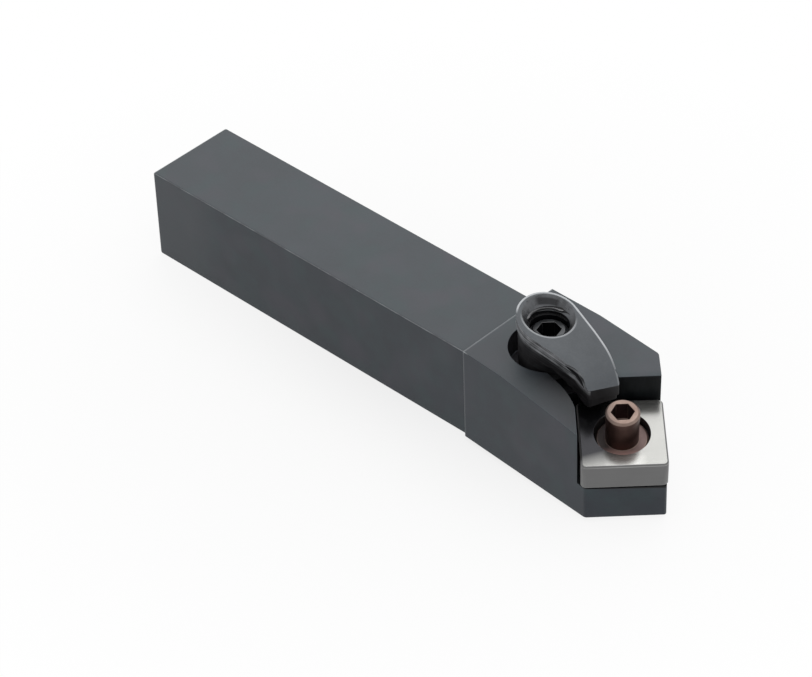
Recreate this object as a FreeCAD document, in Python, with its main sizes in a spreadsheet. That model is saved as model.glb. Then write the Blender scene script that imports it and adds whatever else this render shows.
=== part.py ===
import FreeCAD, Part
import math
import os

import Sketcher
from FreeCAD import Vector

# Left-hand external turning tool holder: a square shank, a head with a pocket
# at 45 degrees, a square seat plate, a lock pin with a flange, a finger clamp and
# the double-ended screw that draws the clamp down.
#
# Millimetres. The origin is the centre of the shank's back end. X runs along the
# shank to the cutting tip, +Y is the side away from the cutting corner, Z is up.
# The sizes that are heights are measured from the shank's bottom.

# Driving sizes: alias and value.
SIZES = [
    # Shank and head
    ("shank_width", 16.0),
    ("shank_height", 16.0),
    ("shoulder_x", 68.2),
    ("overall_length", 101.95),
    ("tip_side", 2.45),
    ("shank_edge_break", 0.25),
    ("back_edge_break", 0.6),
    ("head_top", 17.4),
    ("head_bottom", 0.7),
    ("head_edge_break", 0.25),
    ("near_side_at_shoulder", 9.2),
    ("near_corner_reach", 10.9),
    ("far_side", 10.5),
    ("far_taper_start", 9.6),
    ("far_corner_reach", 9.5),
    # Pocket, seat plate and the slope that clears the chips
    ("seat_size", 12.7),
    ("seat_thickness", 4.76),
    ("seat_tilt", 8.0),
    ("seat_edge_height", 6.48),
    ("seat_overhang", 0.2),
    ("near_wall_gap", 0.45),
    ("far_wall_gap", 0.7),
    ("seat_corner_radius", 0.8),
    ("seat_edge_break", 0.25),
    ("corner_relief_radius", 0.9),
    ("slope_run", 6.75),
    # Lock pin
    ("pin_head_radius", 2.55),
    ("pin_head_length", 0.95),
    ("pin_taper_length", 1.4),
    ("pin_neck_radius", 2.45),
    ("pin_projection", 4.65),
    ("pin_flange_radius", 3.95),
    ("pin_flange_thickness", 1.3),
    ("pin_flange_recess", 1.1),
    ("pin_thread_radius", 3.0),
    ("pin_thread_depth", 5.9),
    ("pin_edge_break", 0.3),
    ("pin_socket_width", 3.0),
    ("pin_socket_depth", 3.2),
    ("flange_clearance", 0.2),
    ("flange_seat_clearance", 0.03),
    ("plate_hole_clearance", 0.4),
    ("thread_clearance", 0.05),
    # Clamp
    ("clamp_setback", 16.32),
    ("clamp_side_offset", 2.51),
    ("nose_standoff", 3.62),
    ("boss_radius", 4.85),
    ("boss_top", 22.6),
    ("boss_bottom", 14.6),
    ("clamp_rake", 15.0),
    ("brow_start", 4.5),
    ("brow_radius", 20.0),
    ("band_height", 1.75),
    ("band_step", 0.25),
    ("arm_underside", 17.9),
    ("arm_slope_start", 4.9),
    ("foot_height", 14.3),
    ("foot_length", 2.3),
    ("finger_far_half", 3.2),
    ("flank_lift", 0.85),
    ("waist_setback", 4.0),
    ("waist_half", 2.55),
    ("nose_skew", 1.0),
    ("nose_near_half", 2.4),
    ("nose_far_half", 2.6),
    ("nose_corner_radius", 0.4),
    ("flank_setback", 5.0),
    ("flank_half", 4.15),
    ("countersink_radius", 4.0),
    ("countersink_angle", 96.0),
    ("countersink_offset", 0.45),
    ("countersink_side_offset", 0.3),
    ("scallop_setback", 3.1),
    ("scallop_radius", 3.8),
    ("scallop_width", 0.45),
    ("scallop_depth", 0.7),
    # Clamp screw and the recess that it stands in
    ("screw_thread_radius", 3.0),
    ("screw_bottom", 2.0),
    ("screw_top", 20.55),
    ("screw_edge_break", 0.65),
    ("screw_waist_radius", 2.4),
    ("screw_waist_bottom", 12.6),
    ("screw_waist_length", 2.0),
    ("screw_socket_width", 3.25),
    ("screw_socket_depth", 3.0),
    ("recess_radius", 6.1),
    ("recess_floor", 13.4),
    ("slot_near_half", 4.15),
    ("slot_far_clearance", 0.1),
    ("slot_blend_radius", 13.0),
]

# Places and lengths that follow from the driving sizes. Each one may use the
# ones above it.
PLACES = [
    ("bottom", "-Sizes.shank_height / 2"),
    ("half_seat", "Sizes.seat_size / 2"),
    ("tip_y", "-Sizes.tip_side"),
    ("near_front_sum", "Sizes.overall_length + Sizes.tip_side"),
    ("far_front_sum", "Sizes.overall_length - Sizes.tip_side"),
    ("near_corner_x", "near_front_sum - Sizes.near_corner_reach"),
    ("far_corner_x", "far_front_sum - Sizes.far_corner_reach"),
    ("far_taper_x", "Sizes.shoulder_x + Sizes.far_taper_start"),
    ("seat_x", "Sizes.overall_length - (half_seat * (1 + cos(Sizes.seat_tilt)) - Sizes.seat_overhang) / sqrt(2)"),
    ("seat_y", "tip_y - (half_seat * (1 - cos(Sizes.seat_tilt)) - Sizes.seat_overhang) / sqrt(2)"),
    ("seat_z", "bottom + Sizes.seat_edge_height + half_seat * sin(Sizes.seat_tilt)"),
    ("near_wall", "half_seat + Sizes.near_wall_gap"),
    ("far_wall", "half_seat + Sizes.far_wall_gap"),
    ("clamp_x", "seat_x - Sizes.clamp_setback"),
    ("clamp_y", "seat_y + Sizes.clamp_side_offset"),
    ("finger_angle", "-atan(Sizes.clamp_side_offset / Sizes.clamp_setback) / 1 deg"),
    ("countersink_tip_depth", "Sizes.countersink_radius / tan(Sizes.countersink_angle / 2)"),
    ("arm_reach", "hypot(Sizes.clamp_setback; Sizes.clamp_side_offset) - Sizes.nose_standoff"),
    ("pin_hole_radius", "Sizes.pin_thread_radius + Sizes.thread_clearance"),
    ("screw_hole_radius", "Sizes.screw_thread_radius + Sizes.thread_clearance"),
    ("wall_turn", "45 + finger_angle"),
    ("slot_far_half", "Sizes.finger_far_half + Sizes.slot_far_clearance"),
    ("wall_corner_reach", "hypot(Sizes.clamp_setback; Sizes.clamp_side_offset)"
     " - (near_wall - Sizes.slot_near_half * sin(wall_turn)) / cos(wall_turn)"),
    ("flange_top", "Sizes.seat_thickness - Sizes.pin_flange_recess"),
    ("flange_bottom", "flange_top - Sizes.pin_flange_thickness"),
    ("pin_top", "Sizes.seat_thickness + Sizes.pin_projection"),
]

# A reach that is sure to pass outside the whole holder.
CLEAR = 60.0

doc = FreeCAD.newDocument("turning_tool_holder")
sizes = doc.addObject("Spreadsheet::Sheet", "Sizes")
for row, (alias, value) in enumerate(SIZES, start=1):
    sizes.set("A%d" % row, alias.replace("_", " "))
    sizes.set("B%d" % row, str(value))
    sizes.setAlias("B%d" % row, alias)
doc.recompute()

places = doc.addObject("App::VarSet", "Places")
for name, text in PLACES:
    places.addProperty("App::PropertyFloat", name)
    places.setExpression(name, text)
    doc.recompute()


def bind(thing, bindings):
    """Tie each property of a document object to its expression."""
    for path, text in bindings.items():
        thing.setExpression(path, text)


def new_body(name, label):
    """Start an empty body with the label that names the piece."""
    body = doc.addObject("PartDesign::Body", name)
    body.Label = label
    return body


def origin_plane(body, role):
    """Find one of the body's own origin planes."""
    return next(item for item in body.Origin.OriginFeatures if item.Role == role)


def new_sketch(body, name, role="XY_Plane", offset=None):
    """Add a sketch on an origin plane, moved by an offset expression if given."""
    sketch = body.newObject("Sketcher::SketchObject", name)
    sketch.AttachmentSupport = [(origin_plane(body, role), "")]
    sketch.MapMode = "FlatFace"
    if offset:
        sketch.setExpression("AttachmentOffset", offset)
    return sketch


def dimension(sketch, kind, items, name, text, start):
    """Add a named dimension to a sketch and tie it to its expression."""
    index = sketch.addConstraint(Sketcher.Constraint(kind, *items, start))
    sketch.renameConstraint(index, name)
    sketch.setExpression("Constraints." + name, text)


def polygon(sketch, corners):
    """Draw a closed outline whose corners are pairs of expressions."""
    count = len(corners)
    spots = [Vector(10 * math.cos(2 * math.pi * k / count), 10 * math.sin(2 * math.pi * k / count), 0)
             for k in range(count)]
    for k in range(count):
        sketch.addGeometry(Part.LineSegment(spots[k], spots[(k + 1) % count]), False)
    for k in range(count):
        sketch.addConstraint(Sketcher.Constraint("Coincident", k, 2, (k + 1) % count, 1))
    for k, (x_text, y_text) in enumerate(corners):
        dimension(sketch, "DistanceX", (-1, 1, k, 1), "corner%d_x" % k, x_text, spots[k].x)
        dimension(sketch, "DistanceY", (-1, 1, k, 1), "corner%d_y" % k, y_text, spots[k].y)


def circle(sketch, radius_text, x_text="0", y_text="0"):
    """Draw a circle with its radius and centre tied to expressions."""
    index = sketch.addGeometry(Part.Circle(Vector(1, 1, 0), Vector(0, 0, 1), 2.0), False)
    dimension(sketch, "Radius", (index,), "radius%d" % index, radius_text, 2.0)
    dimension(sketch, "DistanceX", (-1, 1, index, 3), "centre%d_x" % index, x_text, 1.0)
    dimension(sketch, "DistanceY", (-1, 1, index, 3), "centre%d_y" % index, y_text, 1.0)


def arc_between(sketch, centre, start, end):
    """Add an arc that runs anticlockwise about its centre from start to end."""
    angles = [math.atan2(spot.y - centre.y, spot.x - centre.x) for spot in (start, end)]
    ring = Part.Circle(centre, Vector(0, 0, 1), (start - centre).Length)
    return sketch.addGeometry(Part.ArcOfCircle(ring, *angles), False)


def hexagon(sketch, width_text):
    """Draw a hexagon about the origin with the given width across its flats."""
    half = "%s / 2" % width_text
    corners = []
    for k in range(6):
        turn = "%d deg" % (60 * k)
        corners.append(("%s / cos(30 deg) * cos(%s)" % (half, turn),
                        "%s / cos(30 deg) * sin(%s)" % (half, turn)))
    polygon(sketch, corners)


def pad(body, sketch, name, length_text, midplane=False):
    """Raise a sketch into a solid."""
    feature = body.newObject("PartDesign::Pad", name)
    feature.Profile = sketch
    feature.Midplane = midplane
    bind(feature, {"Length": length_text})
    doc.recompute()
    return feature


def pocket(body, sketch, name, length_text, upwards=False):
    """Cut a sketch out of the body and make sure that it takes something away."""
    before = body.Shape.Volume
    feature = body.newObject("PartDesign::Pocket", name)
    feature.Profile = sketch
    feature.Reversed = upwards
    bind(feature, {"Length": length_text})
    doc.recompute()
    if body.Shape.Volume > before - 1e-6:
        raise RuntimeError("%s takes nothing away" % name)
    return feature


def edges_where(feature, test):
    """Name the feature's edges whose middle point and direction pass a test."""
    names = []
    for number, edge in enumerate(feature.Shape.Edges, start=1):
        middle = edge.valueAt((edge.FirstParameter + edge.LastParameter) / 2)
        chord = edge.Vertexes[-1].Point - edge.Vertexes[0].Point
        if test(middle, chord):
            names.append("Edge%d" % number)
    return names


def dress(body, kind, base, name, names, size_property, size_text):
    """Round or bevel the named edges of the last feature."""
    feature = body.newObject("PartDesign::" + kind, name)
    feature.Base = (base, names)
    bind(feature, {size_property: size_text})
    doc.recompute()
    return feature


def same(first, second):
    """Tell whether two lengths are equal to within a hundredth."""
    return abs(first - second) < 0.01


# The tilted frame that the pocket, the seat plate and the lock pin share: its
# origin is the middle of the pocket's floor, X runs along the cutting edge, Y up
# the slope towards the far wall, Z square to the floor.
SEAT_FRAME = "placement(vector(Places.seat_x; Places.seat_y; Places.seat_z); rotation(45; 0; Sizes.seat_tilt))"


def draw_slot(sketch):
    """Draw the slot for the finger: its near side runs round a wide bend into the pocket's near wall."""
    turn = math.radians(places.wall_turn)
    corner = Vector(places.wall_corner_reach, -sizes.slot_near_half, 0)
    along_wall = Vector(math.cos(turn), -math.sin(turn), 0)
    bend = sizes.slot_blend_radius * math.tan(turn / 2)
    bend_start = corner - Vector(bend, 0, 0)
    bend_end = corner + along_wall * bend
    inside = bend_end + Vector(math.sin(turn), math.cos(turn), 0) * places.near_wall
    far_side = Vector(inside.x, places.slot_far_half, 0)
    near = sketch.addGeometry(Part.LineSegment(Vector(0, corner.y, 0), bend_start), False)
    arc = arc_between(sketch, bend_start - Vector(0, sizes.slot_blend_radius, 0), bend_end, bend_start)
    spots = [bend_end, inside, far_side, Vector(0, far_side.y, 0), Vector(0, corner.y, 0)]
    lines = [sketch.addGeometry(Part.LineSegment(first, second), False) for first, second in zip(spots, spots[1:])]
    guide = sketch.addGeometry(Part.LineSegment(corner, bend_end), True)
    for constraint in [
            Sketcher.Constraint("Tangent", near, 2, arc, 2),
            Sketcher.Constraint("Coincident", arc, 1, lines[0], 1),
            Sketcher.Constraint("Tangent", arc, 1, guide, 2),
            Sketcher.Constraint("PointOnObject", guide, 1, near),
            Sketcher.Constraint("Coincident", lines[0], 2, lines[1], 1),
            Sketcher.Constraint("Coincident", lines[1], 2, lines[2], 1),
            Sketcher.Constraint("Coincident", lines[2], 2, lines[3], 1),
            Sketcher.Constraint("Coincident", lines[3], 2, near, 1),
            Sketcher.Constraint("Horizontal", near),
            Sketcher.Constraint("Perpendicular", guide, lines[0]),
            Sketcher.Constraint("Vertical", lines[1]),
            Sketcher.Constraint("Horizontal", lines[2]),
            Sketcher.Constraint("PointOnObject", near, 1, -2),
            Sketcher.Constraint("PointOnObject", lines[3], 1, -2)]:
        sketch.addConstraint(constraint)
    dimension(sketch, "DistanceY", (near, 1, -1, 1), "near_side", "Sizes.slot_near_half", sizes.slot_near_half)
    dimension(sketch, "DistanceY", (-1, 1, lines[3], 1), "far_side", "Places.slot_far_half", places.slot_far_half)
    dimension(sketch, "Radius", (arc,), "bend", "Sizes.slot_blend_radius", sizes.slot_blend_radius)
    dimension(sketch, "DistanceX", (-1, 1, guide, 1), "corner", "Places.wall_corner_reach", corner.x)
    dimension(sketch, "Angle", (near, 2, guide, 1), "turn", "(180 - Places.wall_turn) * 1 deg", math.pi - turn)
    dimension(sketch, "Distance", (lines[0],), "overrun", "Places.near_wall", places.near_wall)


def make_holder_body():
    """Make the shank and head in one piece, with its pocket, slot and holes."""
    body = new_body("HolderBody", "holder_body")

    sketch = new_sketch(body, "ShankOutline", offset="placement(vector(0; 0; Places.bottom); rotation(0; 0; 0))")
    half_width = "Sizes.shank_width / 2"
    polygon(sketch, [("0", "-" + half_width), ("Sizes.shoulder_x", "-" + half_width),
                     ("Sizes.shoulder_x", half_width), ("0", half_width)])
    shank = pad(body, sketch, "Shank", "Sizes.shank_height")

    end_x = sizes.shoulder_x
    back_edges = edges_where(shank, lambda middle, chord: same(middle.x, 0))
    shank = dress(body, "Fillet", shank, "BackEdges", back_edges, "Radius", "Sizes.back_edge_break")
    long_edges = edges_where(shank, lambda middle, chord: abs(chord.x) > end_x / 2)
    dress(body, "Fillet", shank, "ShankEdges", long_edges, "Radius", "Sizes.shank_edge_break")

    sketch = new_sketch(body, "HeadOutline", offset=(
        "placement(vector(0; 0; Places.bottom + Sizes.head_bottom); rotation(0; 0; 0))"))
    polygon(sketch, [("Sizes.shoulder_x", "-Sizes.near_side_at_shoulder"),
                     ("Places.near_corner_x", "-Sizes.near_corner_reach"),
                     ("Sizes.overall_length", "Places.tip_y"),
                     ("Places.far_corner_x", "Sizes.far_corner_reach"),
                     ("Places.far_taper_x", "Sizes.far_side"),
                     ("Sizes.shoulder_x", "Sizes.far_side")])
    head = pad(body, sketch, "Head", "Sizes.head_top - Sizes.head_bottom")

    low, corners_x = places.bottom + sizes.head_bottom, (places.near_corner_x, sizes.overall_length, places.far_corner_x)
    outer_edges = edges_where(head, lambda middle, chord: same(middle.z, low) and middle.x > end_x + 1)
    outer_edges += edges_where(head, lambda middle, chord: abs(chord.z) > 5 and
                               any(same(middle.x, x) for x in corners_x))
    dress(body, "Chamfer", head, "HeadEdges", outer_edges, "Size", "Sizes.head_edge_break")

    sketch = new_sketch(body, "SlopeOutline", offset=(
        "placement(vector(Places.seat_x - Sizes.slope_run / sqrt(2); Places.seat_y + Sizes.slope_run / sqrt(2);"
        " Places.bottom + Sizes.head_top); rotation(45; 0; Sizes.seat_tilt))"))
    polygon(sketch, [("-%g" % CLEAR, "-%g" % CLEAR), ("%g" % CLEAR, "-%g" % CLEAR), ("%g" % CLEAR, "0"),
                     ("-%g" % CLEAR, "0")])
    pocket(body, sketch, "ChipSlope", "%g" % CLEAR, upwards=True)

    sketch = new_sketch(body, "PocketOutline", offset=SEAT_FRAME)
    polygon(sketch, [("-Places.near_wall", "-%g" % CLEAR), ("%g" % CLEAR, "-%g" % CLEAR),
                     ("%g" % CLEAR, "Places.far_wall"), ("-Places.near_wall", "Places.far_wall")])
    pocket(body, sketch, "InsertPocket", "%g" % CLEAR, upwards=True)

    sketch = new_sketch(body, "ReliefOutline", offset=SEAT_FRAME)
    circle(sketch, "Sizes.corner_relief_radius", "-Places.near_wall", "Places.far_wall")
    pocket(body, sketch, "CornerRelief", "%g" % CLEAR, upwards=True)

    recess_frame = ("placement(vector(Places.clamp_x; Places.clamp_y; Places.bottom + Sizes.recess_floor);"
                    " rotation(Places.finger_angle; 0; 0))")
    sketch = new_sketch(body, "RecessOutline", offset=recess_frame)
    circle(sketch, "Sizes.recess_radius")
    pocket(body, sketch, "ClampRecess", "%g" % CLEAR, upwards=True)

    sketch = new_sketch(body, "SlotOutline", offset=recess_frame)
    draw_slot(sketch)
    pocket(body, sketch, "ClampSlot", "%g" % CLEAR, upwards=True)

    sketch = new_sketch(body, "ScrewHoleOutline", offset=recess_frame)
    circle(sketch, "Places.screw_hole_radius")
    pocket(body, sketch, "ScrewHole", "%g" % CLEAR)

    sketch = new_sketch(body, "PinHoleOutline", offset=SEAT_FRAME)
    circle(sketch, "Places.pin_hole_radius")
    pocket(body, sketch, "PinHole", "%g" % CLEAR)
    return body


def make_shim():
    """Make the square seat plate with its stepped hole."""
    body = new_body("SeatPlate", "shim")
    bind(body, {"Placement": SEAT_FRAME})
    half = "Places.half_seat"
    sketch = new_sketch(body, "PlateOutline")
    polygon(sketch, [("-" + half, "-" + half), (half, "-" + half), (half, half), ("-" + half, half)])
    plate = pad(body, sketch, "Plate", "Sizes.seat_thickness")
    upright = edges_where(plate, lambda middle, chord: abs(chord.z) > 1)
    plate = dress(body, "Fillet", plate, "PlateCorners", upright, "Radius", "Sizes.seat_corner_radius")
    faces = edges_where(plate, lambda middle, chord: same(middle.z, 0) or same(middle.z, sizes.seat_thickness))
    dress(body, "Chamfer", plate, "PlateEdges", faces, "Size", "Sizes.seat_edge_break")

    sketch = new_sketch(body, "HoleOutline")
    circle(sketch, "Sizes.pin_thread_radius + Sizes.plate_hole_clearance")
    pocket(body, sketch, "Hole", "Sizes.seat_thickness", upwards=True)
    sketch = new_sketch(body, "FlangeSeatOutline", offset=(
        "placement(vector(0; 0; Places.flange_bottom - Sizes.flange_seat_clearance); rotation(0; 0; 0))"))
    circle(sketch, "Sizes.pin_flange_radius + Sizes.flange_clearance")
    pocket(body, sketch, "FlangeSeat", "Sizes.seat_thickness", upwards=True)
    return body


def revolve(body, sketch, name):
    """Turn a sketch about its own upright axis."""
    feature = body.newObject("PartDesign::Revolution", name)
    feature.Profile = sketch
    feature.ReferenceAxis = (sketch, ["V_Axis"])
    feature.Angle = 360
    doc.recompute()
    return feature


def make_lock_pin():
    """Make the lock pin: head with a hexagon socket, neck, flange and threaded end."""
    body = new_body("LockPin", "lock_pin")
    bind(body, {"Placement": SEAT_FRAME})
    sketch = new_sketch(body, "PinProfile", role="XZ_Plane")
    bevel = "Sizes.pin_edge_break"
    head_bottom = "Places.pin_top - Sizes.pin_head_length"
    polygon(sketch, [("0", "-Sizes.pin_thread_depth"),
                     ("Sizes.pin_thread_radius - " + bevel, "-Sizes.pin_thread_depth"),
                     ("Sizes.pin_thread_radius", "-Sizes.pin_thread_depth + " + bevel),
                     ("Sizes.pin_thread_radius", "Places.flange_bottom"),
                     ("Sizes.pin_flange_radius", "Places.flange_bottom"),
                     ("Sizes.pin_flange_radius", "Places.flange_top - " + bevel),
                     ("Sizes.pin_flange_radius - " + bevel, "Places.flange_top"),
                     ("Sizes.pin_neck_radius", "Places.flange_top"),
                     ("Sizes.pin_neck_radius", head_bottom + " - Sizes.pin_taper_length"),
                     ("Sizes.pin_head_radius", head_bottom),
                     ("Sizes.pin_head_radius", "Places.pin_top - " + bevel),
                     ("Sizes.pin_head_radius - " + bevel, "Places.pin_top"),
                     ("0", "Places.pin_top")])
    revolve(body, sketch, "Turned")
    sketch = new_sketch(body, "SocketOutline", offset="placement(vector(0; 0; Places.pin_top); rotation(0; 0; 0))")
    hexagon(sketch, "Sizes.pin_socket_width")
    pocket(body, sketch, "Socket", "Sizes.pin_socket_depth")
    return body


def make_clamp_screw():
    """Make the double-ended clamp screw with its waist and hexagon socket."""
    body = new_body("ClampScrew", "clamp_screw")
    bind(body, {"Placement": "placement(vector(Places.clamp_x; Places.clamp_y; Places.bottom); rotation(0; 0; 0))"})
    sketch = new_sketch(body, "ScrewProfile", role="XZ_Plane")
    radius, bevel, waist = "Sizes.screw_thread_radius", "Sizes.screw_edge_break", "Sizes.screw_waist_radius"
    waist_step = "(%s - %s)" % (radius, waist)
    waist_top = "Sizes.screw_waist_bottom + Sizes.screw_waist_length"
    polygon(sketch, [("0", "Sizes.screw_bottom"), ("%s - %s" % (radius, bevel), "Sizes.screw_bottom"),
                     (radius, "Sizes.screw_bottom + " + bevel),
                     (radius, "Sizes.screw_waist_bottom - " + waist_step),
                     (waist, "Sizes.screw_waist_bottom"), (waist, waist_top),
                     (radius, waist_top + " + " + waist_step),
                     (radius, "Sizes.screw_top - " + bevel),
                     ("%s - %s" % (radius, bevel), "Sizes.screw_top"), ("0", "Sizes.screw_top")])
    revolve(body, sketch, "Turned")
    sketch = new_sketch(body, "SocketOutline", offset="placement(vector(0; 0; Sizes.screw_top); rotation(45; 0; 0))")
    hexagon(sketch, "Sizes.screw_socket_width")
    pocket(body, sketch, "Socket", "Sizes.screw_socket_depth")
    return body


def draw_clamp_plan(sketch, inset):
    """Draw the clamp from above, drawn in by an inset: the boss and the finger that leaves it tangentially."""
    step = "(Sizes.band_step * %d)" % inset
    shrink = sizes.band_step * inset
    radius, reach = sizes.boss_radius - shrink, places.arm_reach - shrink
    waist = Vector(reach - sizes.waist_setback, shrink - sizes.waist_half, 0)
    near_nose = Vector(reach - sizes.nose_skew, shrink - sizes.nose_near_half, 0)
    far_nose = Vector(reach, sizes.nose_far_half - shrink, 0)
    flank = Vector(reach - sizes.flank_setback, sizes.flank_half - shrink, 0)

    def touch(point, side):
        """Find where a line from the point touches the boss."""
        turn = math.atan2(point.y, point.x) + side * math.acos(radius / point.Length)
        return Vector(math.cos(turn), math.sin(turn), 0) * radius

    near_touch, far_touch = touch(waist, -1), touch(flank, 1)
    along = (flank - far_touch).normalize()
    chord = far_nose - flank
    swing = 2 * math.acos(min(1.0, along.dot(chord) / chord.Length))
    cheek_radius = chord.Length / 2 / math.sin(swing / 2)
    boss = arc_between(sketch, Vector(0, 0, 0), far_touch, near_touch)
    near = sketch.addGeometry(Part.LineSegment(near_touch, waist), False)
    side = sketch.addGeometry(Part.LineSegment(waist, near_nose), False)
    nose = sketch.addGeometry(Part.LineSegment(near_nose, far_nose), False)
    cheek = arc_between(sketch, flank + Vector(along.y, -along.x, 0) * cheek_radius, far_nose, flank)
    far = sketch.addGeometry(Part.LineSegment(flank, far_touch), False)
    for constraint in [
            Sketcher.Constraint("Coincident", boss, 3, -1, 1),
            Sketcher.Constraint("Tangent", boss, 2, near, 1),
            Sketcher.Constraint("Coincident", near, 2, side, 1),
            Sketcher.Constraint("Coincident", side, 2, nose, 1),
            Sketcher.Constraint("Coincident", nose, 2, cheek, 1),
            Sketcher.Constraint("Tangent", cheek, 2, far, 1),
            Sketcher.Constraint("Tangent", far, 2, boss, 1)]:
        sketch.addConstraint(constraint)
    dimension(sketch, "Radius", (boss,), "boss", "Sizes.boss_radius - " + step, radius)
    for name, line, x_text, y_text, place in [
            ("waist", side, " - Sizes.waist_setback", "-(Sizes.waist_half - %s)" % step, waist),
            ("near_nose", nose, " - Sizes.nose_skew", "-(Sizes.nose_near_half - %s)" % step, near_nose),
            ("far_nose", cheek, "", "Sizes.nose_far_half - " + step, far_nose),
            ("flank", far, " - Sizes.flank_setback", "Sizes.flank_half - " + step, flank)]:
        dimension(sketch, "DistanceX", (-1, 1, line, 1), name + "_x", "Places.arm_reach - " + step + x_text, place.x)
        dimension(sketch, "DistanceY", (-1, 1, line, 1), name + "_y", y_text, place.y)


def make_clamp_plan(name, inset):
    """Raise the clamp's plan into an upright prism with a rounded nose."""
    body = new_body(name, name)
    sketch = new_sketch(body, name + "Outline")
    draw_clamp_plan(sketch, inset)
    prism = pad(body, sketch, name + "Prism", "%g" % CLEAR)
    nose_x = places.arm_reach - sizes.nose_skew - 1
    corners = edges_where(prism, lambda middle, chord: abs(chord.z) > 1 and middle.x > nose_x)
    dress(body, "Fillet", prism, name + "NoseCorners", corners, "Radius", "Sizes.nose_corner_radius")
    return body


def make_clamp_side(name, lowered):
    """Extrude the clamp's side view: raked top, rounded brow, sloping underside and flat foot."""
    body = new_body(name, name)
    drop = "(Sizes.band_height * %d)" % lowered
    sketch = new_sketch(body, name + "Profile", role="XZ_Plane")
    rake = math.radians(sizes.clamp_rake)
    top = sizes.boss_top - sizes.band_height * lowered
    back, front = -2 * sizes.boss_radius, places.arm_reach + 1
    brow = Vector(sizes.brow_start, top - sizes.brow_start * math.tan(rake), 0)
    middle = brow - Vector(math.sin(rake), math.cos(rake), 0) * sizes.brow_radius
    end = Vector(front, middle.y + math.sqrt(sizes.brow_radius ** 2 - (front - middle.x) ** 2), 0)
    low = sizes.foot_height - sizes.band_height * lowered
    under = sizes.arm_underside - sizes.band_height * lowered
    heel = places.arm_reach - sizes.foot_length
    spots = [end, Vector(front, low, 0), Vector(heel, low, 0), Vector(sizes.arm_slope_start, under, 0),
             Vector(back, under, 0), Vector(back, top - back * math.tan(rake), 0), brow]
    arc = arc_between(sketch, middle, end, brow)
    lines = [sketch.addGeometry(Part.LineSegment(first, second), False) for first, second in zip(spots, spots[1:])]
    sketch.addConstraint(Sketcher.Constraint("Coincident", arc, 1, lines[0], 1))
    for first, second in zip(lines, lines[1:]):
        sketch.addConstraint(Sketcher.Constraint("Coincident", first, 2, second, 1))
    sketch.addConstraint(Sketcher.Constraint("Tangent", lines[-1], 2, arc, 2))
    for line, kind in zip(lines[:5], ["Vertical", "Horizontal", "", "Horizontal", "Vertical"]):
        if kind:
            sketch.addConstraint(Sketcher.Constraint(kind, line))
    dimension(sketch, "Radius", (arc,), "brow", "Sizes.brow_radius", sizes.brow_radius)
    for name, line, axis, text, start in [
            ("front", lines[0], "X", "Places.arm_reach + 1", front),
            ("foot", lines[1], "Y", "Sizes.foot_height - " + drop, low),
            ("heel", lines[2], "X", "Places.arm_reach - Sizes.foot_length", heel),
            ("slope_start", lines[3], "X", "Sizes.arm_slope_start", sizes.arm_slope_start),
            ("underside", lines[3], "Y", "Sizes.arm_underside - " + drop, under),
            ("back", lines[4], "X", "-2 * Sizes.boss_radius", back),
            ("back_top", lines[5], "Y",
             "Sizes.boss_top - " + drop + " + 2 * Sizes.boss_radius * tan(Sizes.clamp_rake)", spots[5].y),
            ("brow_start", arc, "X", "Sizes.brow_start", brow.x)]:
        point = 2 if line == arc else 1
        dimension(sketch, "Distance" + axis, (-1, 1, line, point), name, text, start)
    dimension(sketch, "DistanceY", (-1, 1, arc, 2), "brow_top",
              "Sizes.boss_top - " + drop + " - Sizes.brow_start * tan(Sizes.clamp_rake)", brow.y)
    pad(body, sketch, body.Name + "Slab", "%g" % CLEAR, midplane=True)
    return body


def combine(kind, name, base, tool):
    """Join, cut or intersect two solids."""
    feature = doc.addObject("Part::" + kind, name)
    feature.Base = base
    feature.Tool = tool
    doc.recompute()
    return feature


def block(kind, name, bindings):
    """Add a box, a cylinder or a cone to cut or join with."""
    feature = doc.addObject("Part::" + kind, name)
    bind(feature, bindings)
    doc.recompute()
    return feature


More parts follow.
